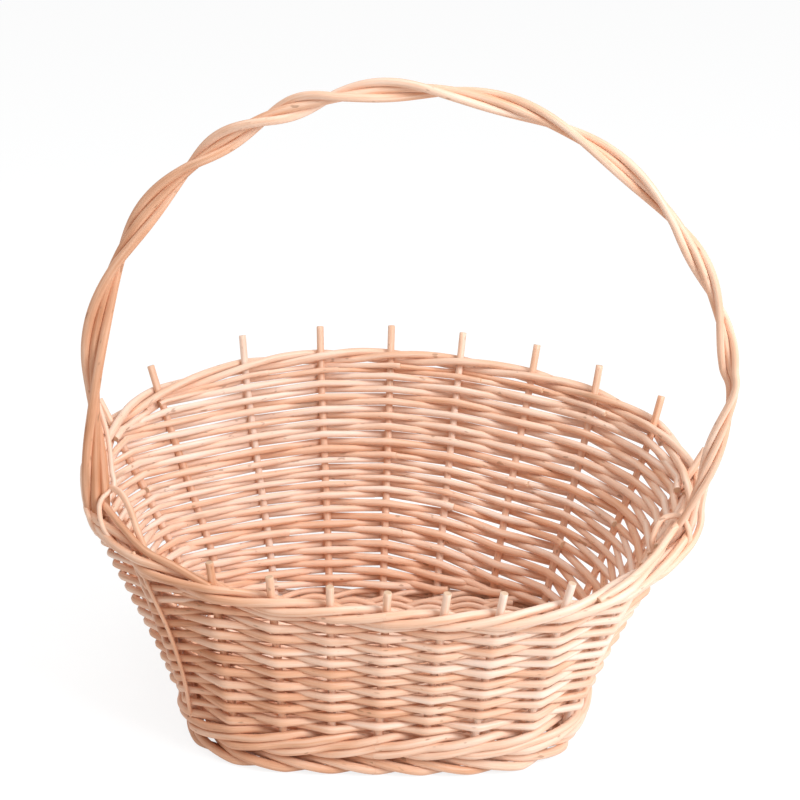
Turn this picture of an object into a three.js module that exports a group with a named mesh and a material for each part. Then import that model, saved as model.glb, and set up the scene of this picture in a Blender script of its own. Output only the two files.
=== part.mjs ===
// Wicker gift basket: willow stakes, randed weavers, waled borders and a fixed twisted handle.
// Millimetres, +Z up, the low front of the basket faces -Y.
import * as THREE from 'three';

// Driving dimensions: the wall
const baseHalfWidth = 126.5;
const baseHalfDepth = 107.3;
const sideSpread = 77.8;
const frontSpread = 28.6;
const backSpread = 44.5;
const backShift = 21.2;
const flareCurve = 1.36;
const baseSquareness = 3.8;
const rimSquareness = 2.26;
const rimSideHeight = 152.6;
const rimRise = 30.8;
const rimPeakShare = 0.35;
const rimLean = 7;
const baseTurnDegrees = 4.6;
const baseShiftX = -4.5;
const baseShiftY = 2.5;

// Driving dimensions: how the stakes crowd towards the front, as shares of the way round
const rimCrowdShare = 0.026;
const rimCornerShare = 0.0165;
const rimTripleShare = 0.0041;
const rimStartShare = 0.0114;
const baseCrowdShare = 0.022;
const baseCornerShare = 0.0066;
const baseStartShare = 0.0022;
const stakeSwayShare = 0.0048;

// Driving dimensions: stakes that stray from the even spacing at the rim, by number, as shares of the way round
const strayStakes = new Map([
  [0, -0.003], [4, -0.008], [7, -0.0025], [8, -0.0075], [9, -0.0105], [10, -0.005],
  [11, -0.002], [12, -0.0015], [14, 0.011], [15, 0.004], [18, 0.0055], [19, 0.0065], [21, -0.003],
]);

// Driving dimensions: the rods
const stakeCount = 22;
const stakeRadiusLow = 3;
const stakeRadiusTop = 2.6;
const stubLength = 17;
const stakeFoot = 1;
const weaverRadius = 2.4;
const borderRods = 3;
const borderRadius = 2.8;
const upsetRods = 4;
const upsetRadius = 2.5;
const footRadius = 3.2;
const baseStickRadius = 2.8;
const baseWeaverRadius = 2.3;
const baseStickPitch = 28;
const baseRowPitch = 9.5;
const baseLift = 4;
const baseTurnEase = 0.8;
const roundsPerWeaver = 3;
const slopeShare = 0.33;
const steepBay = 1.015;
const waleBulge = 2;
const rodSides = 5;

// Driving dimensions: the handle
const handleHalfSpan = 204;
const handleCentreHeight = 225;
const handleRise = 199;
const handleLean = 13.5;
const handleRadius = 2.8;
const handleTurns = 5;
const handleStake = 5;
const lashRadius = 2;
const lashRun = 26;
const lashOffset = 6;
const archInset = 12;

// Clearances
const gap = 0.4;
const rowGap = 0.5;
const flatCut = 0.5;
const tail = 9;

const group = new THREE.Group();
group.name = 'wicker_gift_basket';

function addMesh(name, geometry, colour) {
  const material = new THREE.MeshStandardMaterial({ color: colour, roughness: 0.6 });
  const mesh = new THREE.Mesh(geometry, material);
  mesh.name = name;
  group.add(mesh);
}

const colours = { stake: 0xd9b48c, weaver: 0xe8c4a0, border: 0xe0b890, handle: 0xd2a679, base: 0xcfa67e };

// A rod: rings of equal sides along a path, joined into one closed body.
function sweepRod(path, radiusAt, sides, reference, closed, floor) {
  const count = path.length;
  const positions = [];
  const index = [];
  const tangent = new THREE.Vector3();
  const up = new THREE.Vector3();
  const side = new THREE.Vector3();
  for (let i = 0; i < count; i += 1) {
    const before = path[closed ? (i + count - 1) % count : Math.max(i - 1, 0)];
    const after = path[closed ? (i + 1) % count : Math.min(i + 1, count - 1)];
    tangent.copy(after).sub(before).normalize();
    up.copy(reference(i));
    up.addScaledVector(tangent, -up.dot(tangent)).normalize();
    side.crossVectors(up, tangent);
    const radius = radiusAt(i / (count - 1));
    for (let k = 0; k < sides; k += 1) {
      const turn = (2 * Math.PI * (k + 0.5)) / sides - Math.PI / 2;
      const point = path[i].clone();
      point.addScaledVector(side, radius * Math.cos(turn));
      point.addScaledVector(up, radius * Math.sin(turn));
      positions.push(point.x, point.y, floor === undefined ? point.z : Math.max(point.z, floor));
    }
  }
  const spans = closed ? count : count - 1;
  for (let i = 0; i < spans; i += 1) {
    for (let k = 0; k < sides; k += 1) {
      const a = i * sides + k;
      const b = i * sides + ((k + 1) % sides);
      const c = ((i + 1) % count) * sides + k;
      const d = ((i + 1) % count) * sides + ((k + 1) % sides);
      index.push(a, c, b, b, c, d);
    }
  }
  if (!closed) {
    const last = (count - 1) * sides;
    for (let k = 1; k < sides - 1; k += 1) {
      index.push(0, k, k + 1);
      index.push(last, last + k + 1, last + k);
    }
  }
  const geometry = new THREE.BufferGeometry();
  geometry.setAttribute('position', new THREE.Float32BufferAttribute(positions, 3));
  geometry.setIndex(index);
  const corners = [new THREE.Vector3(), new THREE.Vector3(), new THREE.Vector3()];
  let volume = 0;
  for (let i = 0; i < index.length; i += 3) {
    corners.forEach((corner, n) => corner.fromArray(positions, index[i + n] * 3));
    volume += corners[0].dot(corners[1].clone().cross(corners[2]));
  }
  if (volume < 0) {
    for (let i = 0; i < index.length; i += 3) {
      [index[i + 1], index[i + 2]] = [index[i + 2], index[i + 1]];
    }
    geometry.setIndex(index);
  }
  geometry.computeVertexNormals();
  return geometry;
}

// The wall: a rounded oval at each height, which spreads as it rises.
function ovalRadius(angle, lift) {
  const spread = lift ** flareCurve;
  const back = (1 + Math.sin(angle)) / 2;
  const halfWidth = baseHalfWidth + sideSpread * spread;
  const halfDepth = baseHalfDepth + (frontSpread + (backSpread - frontSpread) * back) * spread;
  const power = baseSquareness + (rimSquareness - baseSquareness) * Math.min(lift, 1.3);
  const across = Math.abs(Math.cos(angle) / halfWidth) ** power;
  const along = Math.abs(Math.sin(angle) / halfDepth) ** power;
  return (across + along) ** (-1 / power);
}

// The ovals shift back as they rise, and the lowest stand a little turned and shifted under the rim.
const upright = new THREE.Vector3(0, 0, 1);

function settle(point, lift) {
  const low = 1 - lift;
  point.applyAxisAngle(upright, THREE.MathUtils.degToRad(baseTurnDegrees) * low);
  point.x += baseShiftX * low;
  point.y += baseShiftY * low + backShift * lift;
  return point;
}

function wallPoint(angle, height) {
  const lift = Math.max(height, 0) / rimSideHeight;
  const radius = ovalRadius(angle, lift);
  return settle(new THREE.Vector3(radius * Math.cos(angle), radius * Math.sin(angle), height), lift);
}

// The rim is low in front, high at the back and a little higher on the left.
function rimHeight(angle) {
  const slope = Math.sin(angle) * (1 + rimPeakShare * Math.cos(angle) ** 2);
  return rimSideHeight + rimRise * slope - rimLean * Math.cos(angle);
}

// Angle at a fraction of the way round a closed curve, from the front centre towards +X.
function angleAtFraction(curve, fraction) {
  const steps = 720;
  const angleOf = (i) => -Math.PI / 2 + (2 * Math.PI * i) / steps;
  const lengths = [0];
  for (let i = 1; i <= steps; i += 1) {
    lengths.push(lengths[i - 1] + curve(angleOf(i)).distanceTo(curve(angleOf(i - 1))));
  }
  const whole = Math.floor(fraction);
  const wanted = (fraction - whole) * lengths[steps];
  let i = 1;
  while (lengths[i] < wanted) i += 1;
  const part = (wanted - lengths[i - 1]) / (lengths[i] - lengths[i - 1]);
  return angleOf(i - 1 + part) + whole * 2 * Math.PI;
}

// Stakes stand closer together along the low front than round the back.
function rimFraction(j) {
  const turn = (2 * Math.PI * j) / stakeCount;
  const crowd = rimCrowdShare * Math.sin(turn) + rimCornerShare * Math.sin(2 * turn);
  const sway = rimTripleShare * Math.cos(3 * turn) - stakeSwayShare * Math.cos(turn);
  return j / stakeCount - crowd + rimStartShare + sway + (strayStakes.get(j) ?? 0);
}

function baseFraction(j) {
  const turn = (2 * Math.PI * j) / stakeCount;
  const crowd = baseCrowdShare * Math.sin(turn) + baseCornerShare * Math.sin(2 * turn);
  return j / stakeCount - crowd + baseStartShare - stakeSwayShare * Math.cos(turn);
}

const rimCurve = (angle) => wallPoint(angle, rimHeight(angle));
const baseCurve = (angle) => wallPoint(angle, 0);

// Each stake is a line up the wall, kept as points with the length run so far.
const stakes = [];
for (let j = 0; j < stakeCount; j += 1) {
  const low = angleAtFraction(baseCurve, baseFraction(j));
  const high = angleAtFraction(rimCurve, rimFraction(j));
  const top = rimHeight(high);
  const steps = 48;
  const points = [];
  const run = [0];
  for (let i = 0; i <= steps; i += 1) {
    const height = (top * i) / steps;
    points.push(wallPoint(low + ((high - low) * i) / steps, height));
    if (i > 0) run.push(run[i - 1] + points[i].distanceTo(points[i - 1]));
  }
  stakes.push({ points, run, length: run[steps] });
}

const wrap = (j) => ((j % stakeCount) + stakeCount) % stakeCount;

// Point on stake j at a length up the wall; above the rim it goes straight on.
function stakePoint(j, length) {
  const { points, run } = stakes[wrap(j)];
  const last = points.length - 1;
  let i = 1;
  while (i < last && run[i] < length) i += 1;
  const part = (length - run[i - 1]) / (run[i] - run[i - 1]);
  return points[i - 1].clone().lerp(points[i], part);
}

function stakeDirection(j, length) {
  return stakePoint(j, length + 1).sub(stakePoint(j, length - 1)).normalize();
}

// Unit vectors at a stake: along the wall upwards, round the wall, and out of it.
function stakeFrame(j, length) {
  const share = length / stakes[wrap(j)].length;
  const next = stakePoint(j + 1, share * stakes[wrap(j + 1)].length);
  const previous = stakePoint(j - 1, share * stakes[wrap(j - 1)].length);
  const up = stakeDirection(j, length);
  const round = next.sub(previous);
  round.addScaledVector(up, -round.dot(up)).normalize();
  const out = new THREE.Vector3().crossVectors(round, up);
  return { up, round, out };
}

// A place beside stake j: length up the wall, offset out of it, and a step round it.
function beside(j, length, offset, step = 0) {
  const frame = stakeFrame(j, length);
  const point = stakePoint(j, length);
  point.addScaledVector(frame.out, offset);
  point.addScaledVector(frame.round, step);
  return point;
}

// Lifts of a wale's rods where they pass outside a stake, one above another
function waleLifts(rods, radius) {
  const rise = radius + 2 * gap;
  return Array.from({ length: rods - 1 }, (_, k) => rise * (rods - 2 - 2 * k));
}

const waleHeight = (rods, radius) => 2 * radius + 2 * waleLifts(rods, radius)[0];

// A wale of three or four rods: every rod passes inside one stake and outside the others.
function waleRing(member, rods, levelAt, radius, sign, floor) {
  const offset = stakeRadiusLow + radius + 2 * gap;
  const lifts = waleLifts(rods, radius).map((lift) => lift * sign);
  const seats = [[-offset, 0], ...lifts.map((lift) => [offset, lift])];
  const stateAt = (j) => (((wrap(j) - member) % rods) + rods) % rods;
  const path = [];
  const directions = [];
  for (let j = 0; j < stakeCount; j += 1) {
    const state = stateAt(j);
    const after = stateAt(j + 1);
    const [out, lift] = seats[state];
    path.push(beside(j, levelAt(j) + lift, out));
    directions.push(stakeDirection(j, levelAt(j)));
    const middle = [(out + seats[after][0]) / 2, (lift + seats[after][1]) / 2];
    if (state === 0 && after === 1) middle[1] = seats[after][1];
    if (state === rods - 1 && after === 0) middle[1] = lift;
    if (state > 0 && after > 0 && state !== after) middle[0] = offset + waleBulge;
    const here = beside(j, levelAt(j) + middle[1], middle[0]);
    const there = beside(j + 1, levelAt(j + 1) + middle[1], middle[0]);
    path.push(here.lerp(there, 0.5));
    directions.push(stakeDirection(j, levelAt(j)).add(stakeDirection(j + 1, levelAt(j + 1))));
  }
  return sweepRod(path, () => radius, rodSides, (i) => directions[i], true, floor);
}

// Bands up the wall: foot, upset wale, weave, rim border
const footRise = footRadius + 2 * gap;
const footLevel = footRise + footRadius * Math.cos(Math.PI / rodSides) - flatCut;
const upsetLow = footLevel + footRise + footRadius + gap;
const upsetLevel = upsetLow + waleHeight(upsetRods, upsetRadius) / 2;
const weaveLow = upsetLow + waleHeight(upsetRods, upsetRadius) + rowGap;
const borderLevel = (j) => stakes[wrap(j)].length - waleHeight(borderRods, borderRadius) / 2;
const weaveHigh = (j) => stakes[wrap(j)].length - waleHeight(borderRods, borderRadius) - rowGap;

for (let member = 0; member < borderRods; member += 1) {
  const foot = waleRing(member, borderRods, () => footLevel, footRadius, 1, 0);
  addMesh(`foot_border_rod_${member + 1}`, foot, colours.border);
  const border = waleRing(member, borderRods, borderLevel, borderRadius, -1);
  addMesh(`rim_border_rod_${member + 1}`, border, colours.border);
}
for (let member = 0; member < upsetRods; member += 1) {
  const upset = waleRing(member, upsetRods, () => upsetLevel, upsetRadius, -1);
  addMesh(`upset_wale_rod_${member + 1}`, upset, colours.border);
}

// Stakes, except the two places where the handle bow itself goes down the wall
const handleStakes = [handleStake, stakeCount - handleStake];
for (let j = 0; j < stakeCount; j += 1) {
  if (!handleStakes.includes(j)) {
    const steps = 11;
    const path = [];
    for (let i = 0; i <= steps; i += 1) {
      path.push(stakePoint(j, stakeFoot + ((stakes[j].length - stakeFoot) * i) / steps));
    }
    path.push(stakePoint(j, stakes[j].length + stubLength));
    const outward = stakeFrame(j, stakes[j].length / 2).out;
    const taper = (share) => stakeRadiusLow + (stakeRadiusTop - stakeRadiusLow) * share;
    const stake = sweepRod(path, taper, rodSides, () => outward, false);
    addMesh(`stake_${String(j + 1).padStart(2, '0')}`, stake, colours.stake);
  }
}

// Rows of weave, counted down from the border: full rows that follow the rim, as many as the lowest wall takes,
// and below them pairs that pack the higher back.
const rowPitch = 2 * weaverRadius + rowGap;
const weaveRun = (j) => weaveHigh(j) - weaveLow;
const runs = stakes.map((stake, j) => {
  const lowest = Math.min(weaveRun(j - 1), weaveRun(j), weaveRun(j + 1));
  return weaveRun(j) + (lowest - weaveRun(j)) * slopeShare;
});
const weaverCount = Math.floor(Math.min(...runs) / rowPitch / roundsPerWeaver);
const fullRows = weaverCount * roundsPerWeaver;

// How much more of a stake a row takes up where the rows slope past it
function steepness(j) {
  const rises = [j - 1, j + 1].map((next) => {
    const here = stakePoint(j, weaveHigh(j));
    return (weaveRun(next) - weaveRun(j)) / here.distanceTo(stakePoint(next, weaveHigh(next)));
  });
  return 1 / Math.sqrt(1 - Math.max(...rises.map(Math.abs)) ** 2);
}

const pairsAt = (j) => Math.floor((runs[wrap(j)] / (rowPitch * steepness(j)) - fullRows) / 2);
const weaveOffset = stakeRadiusLow + weaverRadius + 2 * gap;

function rowLevel(j, row) {
  const rows = fullRows + 2 * pairsAt(j);
  return weaveHigh(j) - ((row + 0.5) * runs[wrap(j)]) / rows;
}

const rowSide = (j, row) => ((j + row) % 2 === 0 ? weaveOffset : -weaveOffset);

// A row goes from place to place; in a steep bay it crosses the wall's middle line halfway.
function sweepRow(places) {
  const path = [];
  const directions = [];
  places.forEach((place, n) => {
    const level = rowLevel(place.j, place.row);
    const last = places[n - 1];
    if (last && last.j !== place.j && Math.max(steepness(last.j), steepness(place.j)) > steepBay) {
      const before = rowLevel(last.j, last.row);
      path.push(beside(last.j, before, 0).lerp(beside(place.j, level, 0), 0.5));
      directions.push(stakeDirection(last.j, before).add(stakeDirection(place.j, level)));
    }
    path.push(beside(place.j, level, place.out, place.step));
    directions.push(stakeDirection(place.j, level));
  });
  return sweepRod(path, () => weaverRadius, rodSides, (i) => directions[i], false);
}

// A full weaver starts at the back and drops one row each time it comes round to its start.
const firstStake = stakeCount / 2;
for (let w = 0; w < weaverCount; w += 1) {
  const places = [];
  for (let r = 0; r < roundsPerWeaver; r += 1) {
    const row = w * roundsPerWeaver + r;
    for (let i = 0; i < stakeCount; i += 1) {
      const j = firstStake + i;
      places.push({ j: wrap(j), row, out: i % 2 === row % 2 ? weaveOffset : -weaveOffset, step: 0 });
    }
  }
  places.unshift({ ...places[0], step: -tail });
  places.push({ ...places[places.length - 1], step: tail });
  addMesh(`weaver_${w + 1}`, sweepRow(places), colours.weaver);
}

// A packing weaver runs round the back, turns round an end stake and runs home again.
const pairCount = Math.max(...stakes.map((stake, j) => pairsAt(j)));
for (let m = 0; m < pairCount; m += 1) {
  let first = firstStake;
  while (pairsAt(first - 1) > m && firstStake - first < stakeCount / 2 - 1) first -= 1;
  let last = firstStake;
  while (pairsAt(last + 1) > m && last - firstStake < stakeCount / 2 - 1) last += 1;
  const out = fullRows + 2 * m;
  const home = out + 1;
  const places = [{ j: first, row: out, out: rowSide(first, out), step: -tail }];
  for (let j = first; j <= last; j += 1) {
    places.push({ j, row: out, out: rowSide(j, out), step: 0 });
  }
  places.push({ j: last, row: out + 0.5, out: 0, step: weaveOffset + 2 * gap });
  for (let j = last; j >= first; j -= 1) {
    places.push({ j, row: home, out: rowSide(j, home), step: 0 });
  }
  places.push({ j: first, row: home, out: rowSide(first, home), step: -tail });
  addMesh(`packing_weaver_${m + 1}`, sweepRow(places), colours.weaver);
}

// Base: sticks from front to back with one long rod randed to and fro through them
const baseLevel = upsetLow + baseLift;
const wallInset = stakeRadiusLow + 2 * upsetRadius + gap;
const baseShare = baseLevel / rimSideHeight;
const insideRadius = (angle) => ovalRadius(angle, baseShare) - wallInset;
const basePoint = (x, y, z) => settle(new THREE.Vector3(x, y, z), baseShare);

function insideReach(fixed, along) {
  let reach = 0;
  while (reach < 400) {
    const x = along === 'x' ? reach : fixed;
    const y = along === 'x' ? fixed : reach;
    if (Math.hypot(x, y) > insideRadius(Math.atan2(y, x))) return reach - 0.1;
    if (Math.hypot(x, y) > insideRadius(Math.atan2(-y, x))) return reach - 0.1;
    reach += 0.1;
  }
  return reach;
}

const baseReach = insideReach(0, 'x') - baseWeaverRadius - baseRowPitch;
const sticksEachSide = Math.floor(baseReach / baseStickPitch);
const stickPlaces = [];
for (let k = -sticksEachSide; k <= sticksEachSide; k += 1) {
  const x = k * baseStickPitch;
  stickPlaces.push(x);
  const reach = insideReach(Math.abs(x) + baseStickRadius, 'y');
  const path = [-1, 1].map((end) => basePoint(x, end * reach, baseLevel));
  const stick = sweepRod(path, () => baseStickRadius, 6, () => upright, false);
  addMesh(`base_stick_${k + sticksEachSide + 1}`, stick, colours.base);
}

// The rod swings over and under the sticks, and needs room to come level before it turns back.
const stickClear = baseStickRadius + baseWeaverRadius + gap;
const swingRatio = 1.12;
const baseSwing = stickClear * swingRatio;
const passRoom = baseRowPitch / 2 + baseSwing / Math.sqrt(swingRatio ** 2 - 1);
const baseDepth = insideReach(stickPlaces[stickPlaces.length - 2], 'y') - baseWeaverRadius;
const baseRows = Math.floor((2 * baseDepth) / baseRowPitch);

// How far out a row runs: to the wall, or short of a stick that it has no room to pass
function turnReachAt(y) {
  const wall = insideReach(Math.abs(y) + baseRowPitch / 2 + baseWeaverRadius, 'x') - baseWeaverRadius;
  const blocking = stickPlaces.find((x) => x > wall - passRoom && x < wall + stickClear);
  return blocking === undefined ? wall : blocking - stickClear;
}

const basePath = [];
const firstRowY = (-(baseRows - 1) / 2) * baseRowPitch;
let startReach = turnReachAt(firstRowY);
for (let row = 0; row < baseRows; row += 1) {
  const y = firstRowY + row * baseRowPitch;
  const heading = row % 2 === 0 ? 1 : -1;
  const endReach = Math.min(turnReachAt(y), turnReachAt(y + baseRowPitch));
  const crossed = stickPlaces.filter((x) => Math.abs(x) < (x * heading > 0 ? endReach : startReach));
  const ordered = heading > 0 ? crossed : crossed.slice().reverse();
  ordered.forEach((x) => {
    const over = Math.round(x / baseStickPitch + row + 100) % 2 === 0 ? 1 : -1;
    basePath.push(basePoint(x, y, baseLevel + over * baseSwing));
  });
  if (row < baseRows - 1) {
    const shoulder = heading * (endReach - baseRowPitch / 2);
    basePath.push(basePoint(shoulder, y + baseTurnEase, baseLevel));
    basePath.push(basePoint(heading * endReach, y + baseRowPitch / 2, baseLevel));
    basePath.push(basePoint(shoulder, y + baseRowPitch - baseTurnEase, baseLevel));
  }
  startReach = endReach;
}
const baseRod = sweepRod(basePath, () => baseWeaverRadius, rodSides, () => upright, false);
addMesh('base_weaver', baseRod, colours.base);

// Handle bow: one rod that stands in the wall on the right, arches over and goes down the left wall
const rightFoot = stakePoint(handleStakes[0], stakes[handleStakes[0]].length);
const leftFoot = stakePoint(handleStakes[1], stakes[handleStakes[1]].length);
const archPoint = (turn) => {
  const x = handleLean + handleHalfSpan * Math.cos(turn);
  const share = (x - leftFoot.x) / (rightFoot.x - leftFoot.x);
  const y = leftFoot.y + (rightFoot.y - leftFoot.y) * THREE.MathUtils.clamp(share, 0, 1);
  return new THREE.Vector3(x, y, handleCentreHeight + handleRise * Math.sin(turn));
};
const archKnots = [];
for (let i = 0; i <= 12; i += 1) archKnots.push(archPoint((Math.PI * i) / 12));
const rightTop = stakePoint(handleStakes[0], stakes[handleStakes[0]].length - archInset);
const leftTop = stakePoint(handleStakes[1], stakes[handleStakes[1]].length - archInset);
const archCurve = new THREE.CatmullRomCurve3([rightTop, rightFoot, ...archKnots, leftFoot, leftTop]);
const archSteps = 60;
const archPath = archCurve.getSpacedPoints(archSteps);
const archLength = archCurve.getLength();

const wallSteps = 10;

function wallPart(j) {
  const high = stakes[j].length - archInset;
  const path = [];
  for (let i = 0; i < wallSteps; i += 1) {
    path.push(stakePoint(j, stakeFoot + ((high - stakeFoot) * i) / wallSteps));
  }
  return path;
}

const bowPath = [...wallPart(handleStakes[0]), ...archPath, ...wallPart(handleStakes[1]).reverse()];
const bowSide = new THREE.Vector3(0, 1, 0);
const borderSteps = 3;
const thinShare = (wallSteps + borderSteps - 0.5) / (bowPath.length - 1);
const bowRadius = (share) => (Math.min(share, 1 - share) < thinShare ? stakeRadiusLow : handleRadius);
addMesh('handle_bow', sweepRod(bowPath, bowRadius, 6, () => bowSide, false), colours.handle);

// Two rods wind round the bow; they stay flat beside it at the feet, where they are lashed.
const footRun = archInset + gap + borderRadius;
const wrapOffset = 2 * handleRadius + gap;

function ribbonAt(run) {
  const share = run / archLength;
  const point = archCurve.getPointAt(share);
  const along = archCurve.getTangentAt(share);
  const across = bowSide.clone().addScaledVector(along, -bowSide.dot(along)).normalize();
  const inward = new THREE.Vector3().crossVectors(along, across);
  const free = archLength - 2 * (footRun + lashRun);
  const twist = THREE.MathUtils.clamp((run - footRun - lashRun) / free, 0, 1) * handleTurns * 2 * Math.PI;
  const flat = across.clone().multiplyScalar(Math.cos(twist)).addScaledVector(inward, Math.sin(twist));
  return { point, along, across, inward, flat };
}

[1, -1].forEach((hand, n) => {
  const steps = 90;
  const path = [];
  for (let i = 0; i <= steps; i += 1) {
    const place = ribbonAt(footRun + ((archLength - 2 * footRun) * i) / steps);
    path.push(place.point.addScaledVector(place.flat, hand * wrapOffset));
  }
  const winding = sweepRod(path, () => handleRadius, rodSides, () => bowSide, false);
  addMesh(`handle_wrap_${n + 1}`, winding, colours.handle);
});

// Lashings: closed rings round the three rods just above the border
const lashHalfLength = wrapOffset;
const lashCorners = 14;
const lashBend = (handleRadius + gap + lashRadius) / Math.cos(Math.PI / (lashCorners - 4));
[['right', 0], ['left', 1]].forEach(([hand, end]) => {
  for (let n = 0; n < 2; n += 1) {
    const run = footRun + lashOffset + n * (2 * lashRadius + 2 * gap);
    const place = ribbonAt(end === 0 ? run : archLength - run);
    const flatSide = new THREE.Vector3().crossVectors(place.along, place.flat);
    const path = [];
    for (let i = 0; i < lashCorners; i += 1) {
      const turn = (2 * Math.PI * (i + 0.5)) / lashCorners;
      const point = place.point.clone();
      const stretch = Math.sign(Math.cos(turn)) * lashHalfLength + lashBend * Math.cos(turn);
      point.addScaledVector(place.flat, stretch);
      point.addScaledVector(flatSide, lashBend * Math.sin(turn));
      path.push(point);
    }
    const ring = sweepRod(path, () => lashRadius, rodSides, () => place.along, true);
    addMesh(`handle_lashing_${hand}_${n + 1}`, ring, colours.handle);
  }
});

// Put the origin under the middle of the whole basket, on the floor.
const box = new THREE.Box3().setFromObject(group);
const middle = box.getCenter(new THREE.Vector3());
group.children.forEach((mesh) => mesh.geometry.translate(-middle.x, -middle.y, -box.min.z));

export default group;
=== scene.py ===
"""A wicker gift basket, woven rod by rod over its packed construction.

Rods are laid out in millimetres as the basket maker sees them: x to the right, y to the back and z up,
round the middle of the wall's ovals. As a piece is made, it is moved into the construction's frame,
which is in metres.
"""

import bpy
import numpy as np
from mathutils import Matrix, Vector


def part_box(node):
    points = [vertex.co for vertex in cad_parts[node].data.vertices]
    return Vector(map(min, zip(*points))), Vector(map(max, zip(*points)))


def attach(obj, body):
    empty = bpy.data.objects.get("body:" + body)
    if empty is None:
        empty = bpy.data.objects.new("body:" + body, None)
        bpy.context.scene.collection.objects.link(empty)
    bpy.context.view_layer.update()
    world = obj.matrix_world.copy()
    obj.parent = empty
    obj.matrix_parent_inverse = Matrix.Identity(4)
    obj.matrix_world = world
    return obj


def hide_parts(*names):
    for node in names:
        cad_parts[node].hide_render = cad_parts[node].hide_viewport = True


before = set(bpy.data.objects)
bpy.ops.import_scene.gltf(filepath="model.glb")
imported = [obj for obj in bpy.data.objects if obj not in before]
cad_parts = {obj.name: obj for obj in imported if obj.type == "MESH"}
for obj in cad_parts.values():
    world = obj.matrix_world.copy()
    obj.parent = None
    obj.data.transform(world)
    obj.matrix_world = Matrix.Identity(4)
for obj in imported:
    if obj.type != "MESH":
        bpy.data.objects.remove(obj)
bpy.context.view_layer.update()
stick_low, stick_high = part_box("base_stick_4")

chance = np.random.default_rng(29)

# Sizes of the wall
BASE_HALF_WIDTH = 126.5
BASE_HALF_DEPTH = 107.3
SIDE_SPREAD = 77.8
FRONT_SPREAD = 28.6
BACK_SPREAD = 44.5
BACK_SHIFT = 21.2
FLARE = 1.36
BASE_SQUARENESS = 3.8
RIM_SQUARENESS = 2.26
RIM_SIDE_HEIGHT = 152.6
RIM_RISE = 30.8
RIM_PEAK = 0.35
RIM_LEAN = 7
BASE_TURN = np.radians(4.6)
BASE_SHIFT = np.array([-4.5, 2.5])

# Sizes of the rods
STAKES = 22
STAKE_LOW = 2.8
STAKE_TOP = 2.6
BORDER_ROD = 2.75
UPSET_ROD = 2.75
FOOT_ROD = 2.9

# Stakes whose places the handle takes, and the stake from which the wales are counted
RIGHT_LEG = 5
LEFT_LEG = 17
SEAM = 17

# A rod's cut end: length of the bevel and width of the cut, as shares of the rod's radius
BEVEL_LENGTH = 0.12
CUT_WIDTH = 0.85
# Every rod takes its grain from another place within this reach of the pattern
GRAIN_REACH = 400

# Heights of the bands up the wall
FOOT_LEVEL = 6.0
UPSET_LEVEL = 21.4
WEAVE_LOW = 30.6
BORDER_HEIGHT = 11.5

# Even steps up each stake and round the wall, and the lift above which the ovals keep their squareness
KNOTS = 96
ROUND_STEPS = 720
SQUARENESS_TOP = 1.3

# Spacing of the stakes, in shares of the way round: how they crowd together and how far all are moved on
STAKE_SWAY = 0.0048
RIM_CROWD = 0.026
RIM_CROWD_TWICE = 0.0165
RIM_CROWD_THRICE = 0.0041
RIM_MOVED_ON = 0.0114
BASE_CROWD = 0.022
BASE_CROWD_TWICE = 0.0066
BASE_MOVED_ON = 0.0022
# Stakes that stray from that spacing at the rim, by number
STRAY = {
    0: -0.003, 4: -0.008, 7: -0.0025, 8: -0.0075, 9: -0.0105, 10: -0.005,
    11: -0.002, 12: -0.0015, 14: 0.011, 15: 0.004, 18: 0.0055, 19: 0.0065, 21: -0.003,
}


def unit(vectors):
    """Vectors brought to length one."""
    return vectors / np.linalg.norm(vectors, axis=-1, keepdims=True)


def length_along(line):
    """Length run so far at each point of a line: the running sum of its steps."""
    steps = np.linalg.norm(np.diff(line, axis=0), axis=1)
    return np.concatenate([[0.0], np.cumsum(steps)])


def settle(points, lift):
    """Points of the wall or the base put in place.

    The ovals shift back as they rise, and the lowest stand turned and a little aside.
    """
    low = 1 - lift
    turn = BASE_TURN * low
    x, y, z = points[..., 0], points[..., 1], points[..., 2]
    turned_x = x * np.cos(turn) - y * np.sin(turn) + BASE_SHIFT[0] * low
    turned_y = x * np.sin(turn) + y * np.cos(turn) + BASE_SHIFT[1] * low + BACK_SHIFT * lift
    return np.stack([turned_x, turned_y, z], -1)


def wall_point(angle, height):
    """A point of the wall: a rounded oval at each height, which spreads as it rises."""
    lift = np.maximum(height, 0) / RIM_SIDE_HEIGHT
    spread = lift**FLARE
    back = (1 + np.sin(angle)) / 2
    half_width = BASE_HALF_WIDTH + SIDE_SPREAD * spread
    half_depth = BASE_HALF_DEPTH + (FRONT_SPREAD + (BACK_SPREAD - FRONT_SPREAD) * back) * spread
    power = BASE_SQUARENESS + (RIM_SQUARENESS - BASE_SQUARENESS) * np.minimum(lift, SQUARENESS_TOP)
    across = np.abs(np.cos(angle) / half_width) ** power
    along = np.abs(np.sin(angle) / half_depth) ** power
    radius = (across + along) ** (-1 / power)
    return settle(np.stack([radius * np.cos(angle), radius * np.sin(angle), height + 0 * radius], -1), lift)


def rim_height(angle):
    """The rim is low in front, high at the back and a little higher on the left."""
    slope = np.sin(angle) * (1 + RIM_PEAK * np.cos(angle) ** 2)
    return RIM_SIDE_HEIGHT + RIM_RISE * slope - RIM_LEAN * np.cos(angle)


def angle_at(height_at, share):
    """Angles at shares of the way round the wall, by running length from the front centre to the right."""
    angles = -np.pi / 2 + 2 * np.pi * np.arange(ROUND_STEPS + 1) / ROUND_STEPS
    run = length_along(wall_point(angles, height_at(angles)))
    whole = np.floor(share)
    return np.interp((share - whole) * run[-1], run, angles) + 2 * np.pi * whole


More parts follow.
